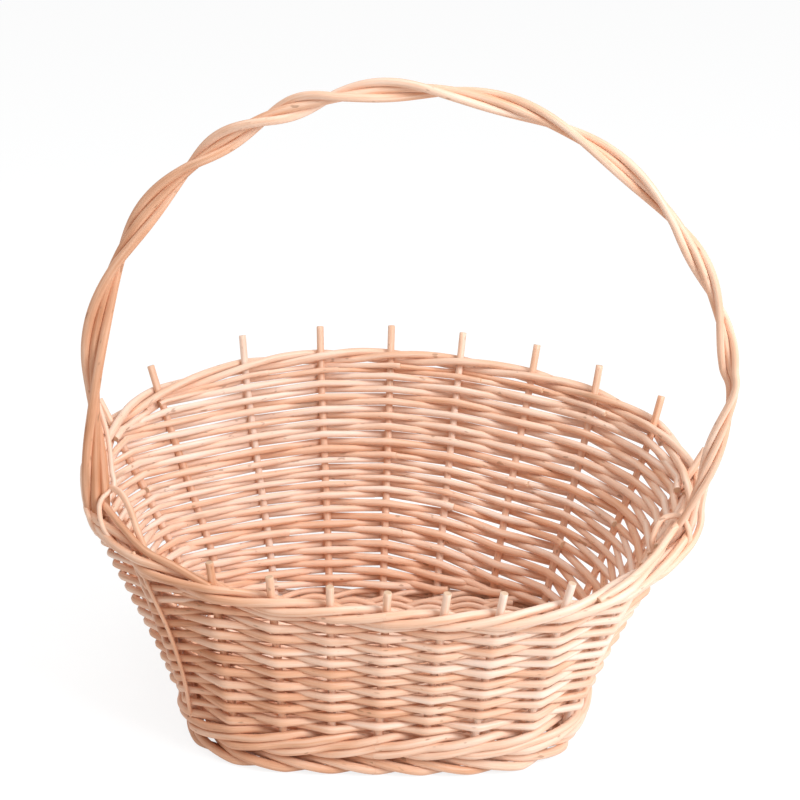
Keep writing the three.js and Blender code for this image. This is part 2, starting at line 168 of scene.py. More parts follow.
def stake_table():
    """Points at even lengths up every stake, from the floor to the rim, and the stakes' lengths."""
    number = np.arange(STAKES)
    turn = 2 * np.pi * number / STAKES
    sway = STAKE_SWAY * np.cos(turn)
    rim_share = number / STAKES - RIM_CROWD * np.sin(turn) - RIM_CROWD_TWICE * np.sin(2 * turn)
    rim_share += RIM_MOVED_ON + RIM_CROWD_THRICE * np.cos(3 * turn) - sway
    rim_share += np.array([STRAY.get(stake, 0.0) for stake in range(STAKES)])
    base_share = number / STAKES - BASE_CROWD * np.sin(turn) - BASE_CROWD_TWICE * np.sin(2 * turn)
    base_share += BASE_MOVED_ON - sway
    low = angle_at(lambda angles: 0 * angles, base_share)
    high = angle_at(rim_height, rim_share)
    rise = np.linspace(0, 1, 2 * KNOTS + 1)
    table = []
    lengths = []
    for start, end in zip(low, high):
        line = wall_point(start + (end - start) * rise, rim_height(end) * rise)
        run = length_along(line)
        even = np.linspace(0, run[-1], KNOTS + 1)
        table.append(np.stack([np.interp(even, run, line[:, axis]) for axis in range(3)], -1))
        lengths.append(run[-1])
    return np.array(table), np.array(lengths)


STAKE_TABLE, STAKE_LENGTH = stake_table()

# Where the middle of the basket's lay-out lies in the construction's frame, from the middle base stick
BASE_LEVEL = 17.7
STICK_MIDDLE = settle(np.zeros(3), BASE_LEVEL / RIM_SIDE_HEIGHT) / 1000
BASE_MIDDLE = (np.array(stick_low) + np.array(stick_high)) / 2 * np.array([1, 1, 0]) - STICK_MIDDLE


def stake_point(number, length):
    """Points on stakes at lengths up the wall; past either end a stake goes straight on."""
    number = np.asarray(number) % STAKES
    place = length / STAKE_LENGTH[number] * KNOTS
    knot = np.clip(np.floor(place).astype(int), 0, KNOTS - 1)
    part = (place - knot)[..., None]
    return STAKE_TABLE[number, knot] * (1 - part) + STAKE_TABLE[number, knot + 1] * part


def stake_up(number, length):
    """The way a stake points at a length up the wall."""
    return unit(stake_point(number, length + 1) - stake_point(number, length - 1))


def beside_stake(number, length, out):
    """A place at a stake, some way out of the wall; out is square to the stake and to the way round."""
    share = length / STAKE_LENGTH[number % STAKES]
    after = stake_point(number + 1, share * STAKE_LENGTH[(number + 1) % STAKES])
    before = stake_point(number - 1, share * STAKE_LENGTH[(number - 1) % STAKES])
    up = stake_up(number, length)
    outward = unit(np.cross(after - before, up))
    return stake_point(number, length) + outward * np.asarray(out)[..., None]


def smooth_between(a, b, c, d, part):
    """Catmull-Rom curve: runs from b to c with part, heading from a and towards d."""
    curve = 2 * b + (c - a) * part + (2 * a - 5 * b + 4 * c - d) * part**2 + (3 * (b - c) + d - a) * part**3
    return curve / 2


def wall_line(where, level_at, out, lift=0.0, straightness=0.3):
    """Places round the wall, counted in stakes.

    They lie on a smooth curve through the four nearest stakes, drawn by the straightness towards the
    straight line between two stakes.
    """
    where = np.asarray(where, float)
    out = np.broadcast_to(out, where.shape)
    first = np.floor(where).astype(int)
    part = (where - first)[:, None]
    near = [beside_stake(first + step, level_at(first + step) + lift, out) for step in (-1, 0, 1, 2)]
    straight = near[1] * (1 - part) + near[2] * part
    return smooth_between(*near, part) * (1 - straightness) + straight * straightness


def wall_up(where, level_at):
    """The upward way along the wall at places counted in stakes."""
    where = np.asarray(where, float)
    first = np.floor(where).astype(int)
    part = (where - first)[:, None]
    here = stake_up(first, level_at(first))
    there = stake_up(first + 1, level_at(first + 1))
    return unit(here * (1 - part) + there * part)


def curve_through(knots, count):
    """A smooth line of evenly spread points through given knots."""
    knots = np.asarray(knots, float)
    ends = np.concatenate([2 * knots[:1] - knots[1:2], knots, 2 * knots[-1:] - knots[-2:-1]])
    where = np.linspace(0, len(knots) - 1 - 1e-9, 40 * len(knots))
    first = np.floor(where).astype(int)
    part = (where - first)[:, None]
    line = smooth_between(*(ends[first + step] for step in range(4)), part)
    run = length_along(line)
    even = np.linspace(0, run[-1], count)
    return np.stack([np.interp(even, run, line[:, axis]) for axis in range(line.shape[1])], -1)


def rod(line, up, high, wide=None, sides=12, closed=False):
    """One willow rod, an oval swept along a line.

    A ring point is the line's point plus wide * cos(turn) sideways plus high * sin(turn) upwards, square
    to the line. An open rod has a bevelled flat cut at each end. Returns points, quads, cap triangles,
    places in the grain, and 1 for the points of a cut and 0 for the others.
    """
    line = np.asarray(line, float)
    up = np.broadcast_to(np.asarray(up, float), line.shape)
    high = np.broadcast_to(np.asarray(high, float), len(line))
    wide = high if wide is None else np.broadcast_to(np.asarray(wide, float), len(line))
    cut = np.zeros(len(line))
    if closed:
        ahead = np.roll(line, -1, 0) - np.roll(line, 1, 0)
    else:
        start = line[:1] - unit(line[1:2] - line[:1]) * high[0] * BEVEL_LENGTH
        end = line[-1:] + unit(line[-1:] - line[-2:-1]) * high[-1] * BEVEL_LENGTH
        line = np.concatenate([start, line, end])
        up = np.concatenate([up[:1], up, up[-1:]])
        high = np.concatenate([high[:1] * CUT_WIDTH, high, high[-1:] * CUT_WIDTH])
        wide = np.concatenate([wide[:1] * CUT_WIDTH, wide, wide[-1:] * CUT_WIDTH])
        cut = np.concatenate([[1.0], cut, [1.0]])
        ahead = np.gradient(line, axis=0)
    ahead = unit(ahead)
    up = unit(up - ahead * np.sum(up * ahead, 1, keepdims=True))
    side = np.cross(ahead, up)
    turn = 2 * np.pi * np.arange(sides) / sides
    sideways = wide[:, None] * np.cos(turn)
    upwards = high[:, None] * np.sin(turn)
    points = line[:, None] + sideways[..., None] * side[:, None] + upwards[..., None] * up[:, None]
    along = np.broadcast_to(length_along(line)[:, None], sideways.shape)
    grain = np.stack([along, sideways, upwards], -1).reshape(-1, 3)
    rings = len(line)
    ring = np.arange(rings if closed else rings - 1)[:, None]
    corner = np.arange(sides)[None]
    after = (ring + 1) % rings
    beyond = (corner + 1) % sides
    corners = [ring * sides + corner, after * sides + corner, after * sides + beyond, ring * sides + beyond]
    quads = np.stack(corners, -1).reshape(-1, 4)
    points = points.reshape(-1, 3)
    cut = np.repeat(cut, sides)
    caps = np.zeros((0, 3), int)
    if not closed:
        middle = len(points)
        last = (rings - 1) * sides
        first_cap = np.stack([np.full(sides, middle), corner[0], beyond[0]], -1)
        last_cap = np.stack([np.full(sides, middle + 1), last + beyond[0], last + corner[0]], -1)
        caps = np.concatenate([first_cap, last_cap])
        points = np.concatenate([points, line[:1], line[-1:]])
        grain = np.concatenate([grain, [[0, 0, 0]], [[along[-1, 0], 0, 0]]])
        cut = np.concatenate([cut, [1.0, 1.0]])
    return points, quads, caps, grain + chance.uniform(-GRAIN_REACH, GRAIN_REACH, 3), cut


# Painted light and shade in the willow's tone, paler where the key light falls and darker where it does
# not: the front begins this far before the middle and is whole after its run
FRONT_BEGINS = 20
FRONT_RUN = 60
SIDE_RUN = 130
LEFT_MOST = -0.75
PALER_RIGHT = 0.2
DARKER_FRONT = 0.07
PALER_BACK_LEFT = 0.08
# Painted shade on the handle, darker towards its left, away from the key light: the left begins this far
# from the middle and is whole after its run
LEFT_BEGINS = 40
LEFT_RUN = 120


def painted_light_shift(points):
    """Painted light and shade: how much paler the willow is towards the right in front and a little towards
    the left at the back; the front as a whole is made darker.
    """
    front = np.clip((-points[:, 1] - FRONT_BEGINS) / FRONT_RUN, 0, 1)
    right = np.clip(points[:, 0] / SIDE_RUN, LEFT_MOST, 1)
    at_back = PALER_BACK_LEFT * (1 - front) * np.clip(right, -1, 0)
    return front * (PALER_RIGHT * right - DARKER_FRONT) - at_back


def give_attribute(mesh, name, kind, field, values):
    """Writes one value for each point of a mesh, for the material to read."""
    mesh.attributes.new(name, kind, "POINT").data.foreach_set(field, np.concatenate(values).ravel())


def make_piece(name, rods, slot, *nodes, tone=0.5, spread=0.15, painted_shade_left=0.0):
    """One piece of the basket from its rods, standing for its construction nodes.

    Every rod gets its own tone within the spread, and painted light and shade are added to it.
    """
    points, quads, caps, grain, cut, tones_and_painted_light = [], [], [], [], [], []
    start = 0
    for shell in rods:
        points.append(shell[0])
        quads.append(shell[1] + start)
        caps.append(shell[2] + start)
        grain.append(shell[3])
        cut.append(shell[4])
        # painted shade towards the left, used for the handle
        to_left = np.clip((-shell[0][:, 0] - LEFT_BEGINS) / LEFT_RUN, 0, 1)
        own_tone = tone + chance.uniform(-spread, spread)
        # painted light and shade by place are added to the rod's own tone
        tones_and_painted_light.append(own_tone - painted_shade_left * to_left + painted_light_shift(shell[0]))
        start += len(shell[0])
    places = np.concatenate(points) / 1000 + BASE_MIDDLE
    quads = np.concatenate(quads)
    caps = np.concatenate(caps)
    mesh = bpy.data.meshes.new(name)
    mesh.from_pydata(places, [], quads.tolist() + caps.tolist())
    smooth = np.concatenate([np.ones(len(quads), bool), np.zeros(len(caps), bool)])
    mesh.polygons.foreach_set("use_smooth", smooth)
    give_attribute(mesh, "grain", "FLOAT_VECTOR", "vector", grain)
    give_attribute(mesh, "cut", "FLOAT", "value", cut)
    # the tone attribute holds the rod's own tone together with painted light and shade
    give_attribute(mesh, "tone", "FLOAT", "value", tones_and_painted_light)
    mesh.materials.append(MATERIALS[slot])
    mesh.update()
    piece = bpy.data.objects.new(name, mesh)
    bpy.context.collection.objects.link(piece)
    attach(piece, "root")
    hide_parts(*nodes)


# Peeled willow

# Colours of the willow from shade to light, and of its marks
WILLOW = [
    (0.05, (0.57, 0.235, 0.110)),
    (0.35, (0.80, 0.420, 0.250)),
    (0.62, (0.905, 0.590, 0.425)),
    (0.95, (0.955, 0.745, 0.620)),
]
SCAR = (0.30, 0.13, 0.06)
STAIN = (0.36, 0.20, 0.11)
CUT_WOOD = (0.66, 0.44, 0.28)
# How far each mark covers the willow
SCAR_COVER = 0.55
STAIN_COVER = 0.45
CUT_COVER = 0.8
# Waves of each mark in a millimetre, along a rod and across it both ways
STREAK_WAVES = (0.014, 0.42, 0.42)
FIBRE_WAVES = (0.05, 2.2, 2.2)
PATCH_WAVES = (0.028, 0.06, 0.06)
SCAR_WAVES = (0.11, 0.30, 0.30)
STAIN_WAVES = (0.018, 0.10, 0.10)
# How much streaks, fibres and patches change the tone, and the shift that keeps it in the middle
STREAK_TONE = 0.75
FIBRE_TONE = 0.22
PATCH_TONE = 0.45
TONE_SHIFT = -0.62
# Satin: roughness between fibres, and how much fibres add
SATIN = 0.36
FIBRE_ROUGHNESS = 0.22


def link_value(tree, kind, operation, first, second):
    """A maths node in a tree; each operand is a number or another node's output."""
    node = tree.nodes.new(kind)
    node.operation = operation
    for socket, operand in zip(node.inputs, (first, second)):
        if isinstance(operand, bpy.types.NodeSocket):
            tree.links.new(operand, socket)
        else:
            socket.default_value = operand
    return node.outputs[0]


def noise_at(tree, vector, waves, detail):
    """Noise along a rod, whose grain in millimetres is stretched so that it draws out into streaks."""
    place = link_value(tree, "ShaderNodeVectorMath", "MULTIPLY", vector, waves)
    node = tree.nodes.new("ShaderNodeTexNoise")
    node.inputs["Scale"].default_value = 1.0
    node.inputs["Detail"].default_value = detail
    tree.links.new(place, node.inputs["Vector"])
    return node.outputs["Fac"]


def ramp(tree, value, stops):
    """A colour ramp over a value; stops are (place, colour)."""
    node = tree.nodes.new("ShaderNodeValToRGB")
    elements = node.color_ramp.elements
    for element, (place, colour) in zip(elements, (stops[0], stops[-1])):
        element.position = place
        element.color = (*colour, 1)
    for place, colour in stops[1:-1]:
        element = elements.new(place)
        element.color = (*colour, 1)
    tree.links.new(value, node.inputs["Fac"])
    return node.outputs["Color"]


def blend_colour(tree, amount, under, over):
    """One colour laid over another by an amount; each is a colour or another node's output."""
    node = tree.nodes.new("ShaderNodeMix")
    node.data_type = "RGBA"
    for socket, operand in ((node.inputs[0], amount), (node.inputs[6], under), (node.inputs[7], over)):
        if isinstance(operand, bpy.types.NodeSocket):
            tree.links.new(operand, socket)
        else:
            socket.default_value = (*operand, 1)
    return node.outputs[2]


def peeled_willow_group():
    """Colour, roughness and height of peeled willow from a rod's grain, tone and cut attributes; the tone
    carries painted light and shade as well.
    """
    tree = bpy.data.node_groups.new("peeled_willow", "ShaderNodeTree")
    outputs = {"Color": "NodeSocketColor", "Roughness": "NodeSocketFloat", "Height": "NodeSocketFloat"}
    for name, kind in outputs.items():
        tree.interface.new_socket(name, in_out="OUTPUT", socket_type=kind)
    finish = tree.nodes.new("NodeGroupOutput")
    read = {}
    for name in ("grain", "tone", "cut"):
        read[name] = tree.nodes.new("ShaderNodeAttribute")
        read[name].attribute_name = name
    grain = read["grain"].outputs["Vector"]
    streaks = noise_at(tree, grain, STREAK_WAVES, 3)
    fibres = noise_at(tree, grain, FIBRE_WAVES, 2)
    patches = noise_at(tree, grain, PATCH_WAVES, 2)
    scars = noise_at(tree, grain, SCAR_WAVES, 1)
    stains = noise_at(tree, grain, STAIN_WAVES, 2)
    value = link_value(tree, "ShaderNodeMath", "MULTIPLY_ADD", streaks, STREAK_TONE)
    value.node.inputs[2].default_value = TONE_SHIFT
    # the tone carries painted light and shade as well as the rod's own tone
    tone = read["tone"].outputs["Fac"]
    for part, amount in ((fibres, FIBRE_TONE), (patches, PATCH_TONE), (tone, 1.0)):
        share = link_value(tree, "ShaderNodeMath", "MULTIPLY", part, amount)
        value = link_value(tree, "ShaderNodeMath", "ADD", value, share)
    colour = ramp(tree, value, WILLOW)
    scar = ramp(tree, scars, [(0.70, (0, 0, 0)), (0.76, (1, 1, 1))])
    scar = link_value(tree, "ShaderNodeMath", "MULTIPLY", scar, SCAR_COVER)
    colour = blend_colour(tree, scar, colour, SCAR)
    stain = ramp(tree, stains, [(0.66, (0, 0, 0)), (0.78, (1, 1, 1))])
    stain = link_value(tree, "ShaderNodeMath", "MULTIPLY", stain, STAIN_COVER)
    colour = blend_colour(tree, stain, colour, STAIN)
    cut = link_value(tree, "ShaderNodeMath", "MULTIPLY", read["cut"].outputs["Fac"], CUT_COVER)
    colour = blend_colour(tree, cut, colour, CUT_WOOD)
    tree.links.new(colour, finish.inputs["Color"])
    shine = link_value(tree, "ShaderNodeMath", "MULTIPLY_ADD", fibres, FIBRE_ROUGHNESS)
    shine.node.inputs[2].default_value = SATIN
    tree.links.new(shine, finish.inputs["Roughness"])
    height = link_value(tree, "ShaderNodeMath", "ADD", fibres, streaks)
    tree.links.new(height, finish.inputs["Height"])
    return tree


WILLOW_GROUP = peeled_willow_group()


def willow_material(name):
    """Satin peeled willow for one slot of the basket."""
    material = bpy.data.materials.new(name)
    material.use_nodes = True
    tree = material.node_tree
    shader = tree.nodes["Principled BSDF"]
    group = tree.nodes.new("ShaderNodeGroup")
    group.node_tree = WILLOW_GROUP
    bump = tree.nodes.new("ShaderNodeBump")
    bump.inputs["Strength"].default_value = 0.35
    bump.inputs["Distance"].default_value = 0.0006
    tree.links.new(group.outputs["Height"], bump.inputs["Height"])
    tree.links.new(group.outputs["Color"], shader.inputs["Base Color"])
    tree.links.new(group.outputs["Roughness"], shader.inputs["Roughness"])
    tree.links.new(bump.outputs["Normal"], shader.inputs["Normal"])
    return material


SLOTS = ("stakes", "weave", "borders", "handle", "base")
MATERIALS = {slot: willow_material("willow_" + slot) for slot in SLOTS}


# The upset is slimmer and lower at the back, where the rows reach further down
UPSET_SLIMMER = 0.25
UPSET_DROP = 5.0
ROWS_DROP = 7.0


def towards_back(where):
    """1 at the middle of the back, falling smoothly to 0 in front."""
    return (0.5 - 0.5 * np.cos(2 * np.pi * where / STAKES)) ** 2


# Rows of weave

# Places along the rows in stakes, from the left of the front to the right and round the back to the left
PLACES = np.arange(-5, 22)
PLACE_STAKE = PLACES % STAKES
SEAM_PLACE = 19
RIGHT_SIDE = 5
# First row at each place, and the one after its last: rows end at the top on the left, below on the right
FIRST_ROW = np.array([1, 4] + [8] * 7 + [7, 6, 4, 2, 1, 0, 0, 0, 0, 0, 2, 5, 9, 13, 16, 20, 20, 20])
AFTER_ROW = np.array([28] * 13 + [29, 30, 33, 35, 35, 35, 36, 39, 41, 40, 40, 40, 40, 40])
ROWS = 41
FULL_ROWS = 19
# Rods in front are alike; at the back those next to the border and some half-way down are thinner
FRONT_ROD = 2.8
BACK_ROD = np.full(ROWS, 2.75)
BACK_ROD[:2] = 2.1
BACK_ROD[14:21] = 2.3
# How far a place belongs to the back, which fades out over a few stakes on each side
BACK_MIDDLE = 11
BACK_REACH = 8.5
BACK_FADE = 3
AT_BACK = np.clip((BACK_REACH - np.abs(PLACES - BACK_MIDDLE)) / BACK_FADE, 0, 1)
ROD_AT = (FRONT_ROD + (BACK_ROD[:, None] - FRONT_ROD) * AT_BACK) * chance.uniform(0.95, 1.05, (ROWS, 1))
# The rows stacked down each stake and squeezed to fill it; at the back the squeeze starts from a set share
BACK_TOP_SQUEEZE = 0.88
STACK = np.concatenate([np.zeros((1, len(PLACES))), np.cumsum(2 * ROD_AT, 0)])
STACK = STACK - STACK[FIRST_ROW, np.arange(len(PLACES))]
FILLED = STACK[AFTER_ROW, np.arange(len(PLACES))]
HEIGHT_RUN = (STAKE_LENGTH - BORDER_HEIGHT - WEAVE_LOW)[PLACE_STAKE] + ROWS_DROP * towards_back(PLACES)
SQUEEZE = HEIGHT_RUN / FILLED
TOP_SQUEEZE = SQUEEZE + (BACK_TOP_SQUEEZE - SQUEEZE) * AT_BACK
# Each row wanders up and down a little along its way, by no more than the most
WANDER_MOST = 0.8
ROW_WANDER = np.cumsum(chance.normal(0, 0.25, (ROWS, len(PLACES))), 1)
ROW_WANDER = ROW_WANDER - ROW_WANDER.mean(1, keepdims=True) + chance.normal(0, 0.3, (ROWS, len(PLACES)))
# How a row bends round a stake: its knee in half bays, and how far out it lies as a share of its thickness
KNEE = 0.1
BAY_STEPS = 16
ROW_OUT = 0.65
BACK_ROW_OUT = 0.2
RIDE_UP = 0.6
BACK_RIDE_LESS = 0.3
# Rows stand out further where they pass the handle's left foot
LEFT_KNUCKLE = 2.4
LEFT_KNUCKLE_RUN = 0.5
# A row's rod from its thick end to its tip, pressed flat between the stakes and narrow beside them
THICK_END = 1.06
TIP_END = 0.94
PRESSED_FLAT = 0.95
NARROW_AT_STAKE = 0.88
# How far the thick end of a rod stands inside the basket, and over how many bays it comes in
BUTT_IN = 2.2
BACK_BUTT_IN = 1.2
SHORT_BUTT_IN = 2.6
BUTT_RUN = 0.3
# How far rods run past their last stakes, in bays: in front, at the back, where hidden, and where pieced
FRONT_PAST = 0.12
BACK_PAST = 0.1
HIDDEN_PAST = 1.2
PIECED_PAST = 0.2
SHORT_PAST = 0.3
# Rows whose cut ends show inside, and the stakes between which they are pieced from short rods
BUTT_ROWS = {0: (8, 14), 1: (8, 14), 14: (7, 15), 21: (6, 11), 26: (11, 16)}


def row_level(row):
    """Lengths up the stakes at which a row passes, counted down from the border.

    The rows at a stake share its length in proportion to their thickness; what a stake lacks or has to
    spare is taken up more and more towards the bottom. A row that has ended lies against the border or
    the upset.
    """
    middle = STACK[row] + ROD_AT[row]
    share = np.clip(middle / FILLED, 0, 1)
    drop = np.clip(middle * (TOP_SQUEEZE + (SQUEEZE - TOP_SQUEEZE) * share), 0, HEIGHT_RUN)
    wander = np.clip(ROW_WANDER[row], -WANDER_MOST, WANDER_MOST)
    level = STAKE_LENGTH[PLACE_STAKE] - BORDER_HEIGHT - drop + wander
    return lambda number: level[number - PLACES[0]]


def row_bend(where):
    """How far a row has come from a stake to the middle of the bay, 0 to 1, bent sharply at the stake."""
    away = 2 * np.abs(where - np.floor(where + 0.5))
    return (np.sqrt(away**2 + KNEE**2) - KNEE) / (np.sqrt(1 + KNEE**2) - KNEE)


def row_rod(row, start, end, butt=BUTT_IN):
    """A rod woven from one place to another along a row, outside every second stake and inside the others.

    It is straight between the stakes, rides up a little where it passes outside and is pressed flatter
    between the stakes, where the rows touch. Its thick end stands a little inside the basket.
    """
    count = int(abs(end - start) * BAY_STEPS) + 2
    where = np.linspace(start, end, count)
    level = row_level(row)
    stake = np.floor(where + 0.5).astype(int)
    thick = np.interp(where, PLACES, ROD_AT[row])
    side = (1 - 2 * ((stake + row) % 2)) * (1 - row_bend(where))
    entry = np.clip(1 - np.abs(where - start) / BUTT_RUN, 0, 1)
    at_back = np.interp(where, PLACES, AT_BACK)
    swing = side * (STAKE_LOW + thick * (ROW_OUT + BACK_ROW_OUT * at_back)) - butt * entry**1.5
    knuckle = np.exp(-((where - LEFT_LEG) ** 2) / LEFT_KNUCKLE_RUN)
    swing = swing + LEFT_KNUCKLE * np.clip(side, 0, 1) * knuckle
    lift = side * (RIDE_UP - BACK_RIDE_LESS * at_back)
    line = wall_line(where, level, swing, lift, straightness=0.95)
    thick = thick * np.linspace(THICK_END, TIP_END, count)
    pressed = row_bend(where) * (1 - np.minimum(np.interp(where, PLACES, SQUEEZE), 1.0))
    high = thick * (1.0 - PRESSED_FLAT * pressed)
    wide = thick * (NARROW_AT_STAKE + (1 - NARROW_AT_STAKE) * row_bend(where))
    return rod(line, wall_up(where, level), high, wide, sides=10)


def inside_place(row, place):
    """The place itself, or the one before it, where a row passes inside the stake."""
    return place if (place + row) % 2 else place - 1


def short_rods(row, first, last):
    """Rods of two bays each along a row, whose cut ends show inside the basket just past the stakes."""
    rods = []
    for stake in range(first, last):
        if (stake + row) % 2:
            begin = max(stake - chance.uniform(0.12, 0.4), first - SHORT_PAST)
            end = min(stake + 2 + BACK_PAST, last + SHORT_PAST)
            rods.append(row_rod(row, begin, end, butt=SHORT_BUTT_IN))
    if (first + row) % 2 == 0:
        rods.append(row_rod(row, first - SHORT_PAST, first + 1 + BACK_PAST, butt=0.0))
    return rods


def front_rod(row):
    """A row of the front, from inside a stake on the left to inside a stake on the right."""
    start = inside_place(row, SEAM_PLACE - STAKES) - FRONT_PAST
    end = inside_place(row, RIGHT_SIDE) + FRONT_PAST
    return row_rod(row, start, end)


def back_rods(row):
    """A row of the sides and the back, from where it begins on the right to where it ends on the left."""
    at_back = (PLACES >= RIGHT_SIDE) & (PLACES <= SEAM_PLACE)
    present = PLACES[(FIRST_ROW <= row) & (row < AFTER_ROW) & at_back]
    begin = present[0] - HIDDEN_PAST
    if present[0] == RIGHT_SIDE:
        begin = inside_place(row, RIGHT_SIDE) - BACK_PAST
    end = present[-1] + HIDDEN_PAST
    if present[-1] == SEAM_PLACE:
        end = inside_place(row, SEAM_PLACE) + BACK_PAST
    if row not in BUTT_ROWS:
        return [row_rod(row, begin, end, butt=BACK_BUTT_IN)]
    first, last = BUTT_ROWS[row]
    rods = short_rods(row, first, last)
    if begin < first - 1:
        rods.append(row_rod(row, first - PIECED_PAST, begin, butt=0.0))
    if end > last + 1:
        rods.append(row_rod(row, last + PIECED_PAST, end, butt=0.0))
    return rods


# Rows of the back in each full weaver's piece; of the front each takes the next five, from its top row down
WEAVER_ROWS = ((0, 5), (5, 10), (10, 14), (14, FULL_ROWS))
FRONT_TOP = FIRST_ROW[5]
FRONT_ROWS = 5
for count, (top_row, next_row) in enumerate(WEAVER_ROWS, 1):
    front_top = FRONT_TOP + FRONT_ROWS * (count - 1)
    rods = [front_rod(row) for row in range(front_top, front_top + FRONT_ROWS)]
    for row in range(top_row, next_row):
        rods += back_rods(row)
    make_piece("randed_weaver_%d" % count, rods, "weave", "weaver_%d" % count)
PACKED_ROWS = ((FULL_ROWS, 21), (21, 23), (23, 25), (25, 27), (27, 29), (29, 31), (31, 33), (33, ROWS))
for count, (top_row, next_row) in enumerate(PACKED_ROWS, 1):
    rods = [piece for row in range(top_row, next_row) for piece in back_rods(row)]
    make_piece("packed_weaver_%d" % count, rods, "weave", "packing_weaver_%d" % count)


# Waled bands: each rod passes inside one stake and outside the others

# Room between rods, how close they lie to the stakes, how far they bulge between them, and steps to a bay
WALE_ROOM = 0.05
WALE_CLOSE = 0.9
WALE_BULGE = 1.6
WALE_STEPS = 20
# A wale's rods swell and taper by this share on their way round, each a turn after the one before
WALE_TAPER = 0.05
TAPER_TURN = 2.1
# How far out of the wall the lower bands are moved
FOOT_SHIFT = -3.5
UPSET_SHIFT = -0.5
# Bands are darker and more even than the weave
BAND_TONE = 0.43
BAND_SPREAD = 0.12


def wale_rod(member, rods, level_at, thick, slant, shift=0.0, floor=None, slimmer=0.0):
    """One rod of a wale of three or four, closed round the basket.

    Inside a stake it lies level; outside it passes each next stake at the next height, so that the rods
    seen on the outside lie one above another. slant is +1 where a rod starts high and falls; shift moves
    the band in or out; slimmer is the share by which it is slimmer at the back.
    """
    number = np.arange(STAKES)
    state = ((number - SEAM) % STAKES - member) % rods
    after = np.roll(state, -1)
    rise = thick + WALE_ROOM
    offset = STAKE_LOW + thick * WALE_CLOSE
    outs = np.array([-offset] + [offset] * (rods - 1))
    lifts = np.array([0.0] + [rise * (rods - 2 - 2 * k) for k in range(rods - 1)]) * slant
    mid_out = (outs[state] + outs[after]) / 2
    mid_lift = (lifts[state] + lifts[after]) / 2
    mid_lift = np.where((state == 0) & (after == 1), lifts[after], mid_lift)
    mid_lift = np.where((state == rods - 1) & (after == 0), lifts[state], mid_lift)
    mid_out = np.where((state > 0) & (after > 0) & (state != after), offset + WALE_BULGE, mid_out)
    out_knots = np.stack([outs[state], mid_out], 1).ravel() + shift
    lift_knots = np.stack([lifts[state], mid_lift], 1).ravel()
    where = np.arange(STAKES * WALE_STEPS) / WALE_STEPS
    first = np.floor(where * 2).astype(int)
    part = where * 2 - first

    def between(knots):
        """Values on a smooth closed curve through knots, two to a stake."""
        return smooth_between(*(knots[(first + step) % len(knots)] for step in (-1, 0, 1, 2)), part)

    share = 1 - slimmer * towards_back(where)
    line = wall_line(where, level_at, between(out_knots), between(lift_knots) * share)
    taper = WALE_TAPER * np.sin(2 * np.pi * where / STAKES + member * TAPER_TURN)
    thickness = thick * share * (1 + taper)
    if floor is not None:
        line[:, 2] = np.maximum(line[:, 2], floor + thickness)
    return rod(line, wall_up(where, level_at), thickness, sides=14, closed=True)


def foot_level(number):
    """Middle of the foot border, at the same length up every stake."""
    return np.full(np.shape(number), FOOT_LEVEL)


def upset_level(number):
    """Middle of the upset on each stake."""
    return UPSET_LEVEL - UPSET_DROP * towards_back(number)


def border_level(number):
    """Middle of the rim border on each stake."""
    return STAKE_LENGTH[number % STAKES] - BORDER_HEIGHT / 2


def band_piece(name, band_rod, node):
    """One rod of a band as a piece."""
    make_piece(name, [band_rod], "borders", node, tone=BAND_TONE, spread=BAND_SPREAD)


for member in range(3):
    suffix = "_%d" % (member + 1)
    foot = wale_rod(member, 3, foot_level, FOOT_ROD, 1, shift=FOOT_SHIFT, floor=0.0)
    band_piece("foot_border" + suffix, foot, "foot_border_rod" + suffix)
    border = wale_rod(member, 3, border_level, BORDER_ROD, -1)
    band_piece("rim_border" + suffix, border, "rim_border_rod" + suffix)
for member in range(4):
    suffix = "_%d" % (member + 1)
    upset = wale_rod(member, 4, upset_level, UPSET_ROD, -1, shift=UPSET_SHIFT, slimmer=UPSET_SLIMMER)
    band_piece("upset_wale" + suffix, upset, "upset_wale_rod" + suffix)


# Stakes

# Stubs above the border are longer at the back; stakes beside the handle are cut off within the border
STUB = 14.5
STUB_LONGER = 2.8
STUB_CHANCE = 1.5
CUT_STAKES = (4, 16, 18)
CUT_STUB = -2.0
STAKE_FOOT = 1.0
STAKE_STEPS = 64


def stake_rod(number, stub):
    """One stake from the floor up the wall, cut off a stub's length above the rim."""
    height = np.linspace(STAKE_FOOT, STAKE_LENGTH[number] + stub, STAKE_STEPS)
    same = np.full(STAKE_STEPS, number)
    line = stake_point(same, height)
    thick = np.linspace(STAKE_LOW, STAKE_TOP, STAKE_STEPS)
    side = beside_stake(same, height, 1.0) - line
    return rod(line, side, thick, sides=14)


for number in range(STAKES):
    if number not in (RIGHT_LEG, LEFT_LEG):
        to_front = np.cos(2 * np.pi * number / STAKES)
        stub = STUB - STUB_LONGER * to_front + chance.uniform(-STUB_CHANCE, STUB_CHANCE)
        if number in CUT_STAKES:
            stub = CUT_STUB
        name = "stake_%02d" % (number + 1)
        make_piece("willow_" + name, [stake_rod(number, stub)], "stakes", name)


# Base
BASE_LIFT = BASE_LEVEL / RIM_SIDE_HEIGHT
BASE_ROD = 2.3
STICKS = 7
STICK_PITCH = 28
BASE_ROW_PITCH = 4.9
ROWS_EACH_SIDE = 20
BASE_SWING = 3.6
STICK_STEPS = 40
BASE_ROW_STEPS = 120
# The base ends a little inside the middles of the stakes
BASE_EDGE = 5
BASE_WIDE = BASE_HALF_WIDTH - BASE_EDGE
BASE_DEEP = BASE_HALF_DEPTH - BASE_EDGE


def base_reach(away, half_size, half_reach):
    """How far the base runs to each side at a distance from its middle, within the wall's lowest oval.

    It is half_reach times the root of one less the power of away over half_size.
    """
    share = np.clip(np.abs(away) / half_size, 0, 1)
    return half_reach * (1 - share**BASE_SQUARENESS) ** (1 / BASE_SQUARENESS)


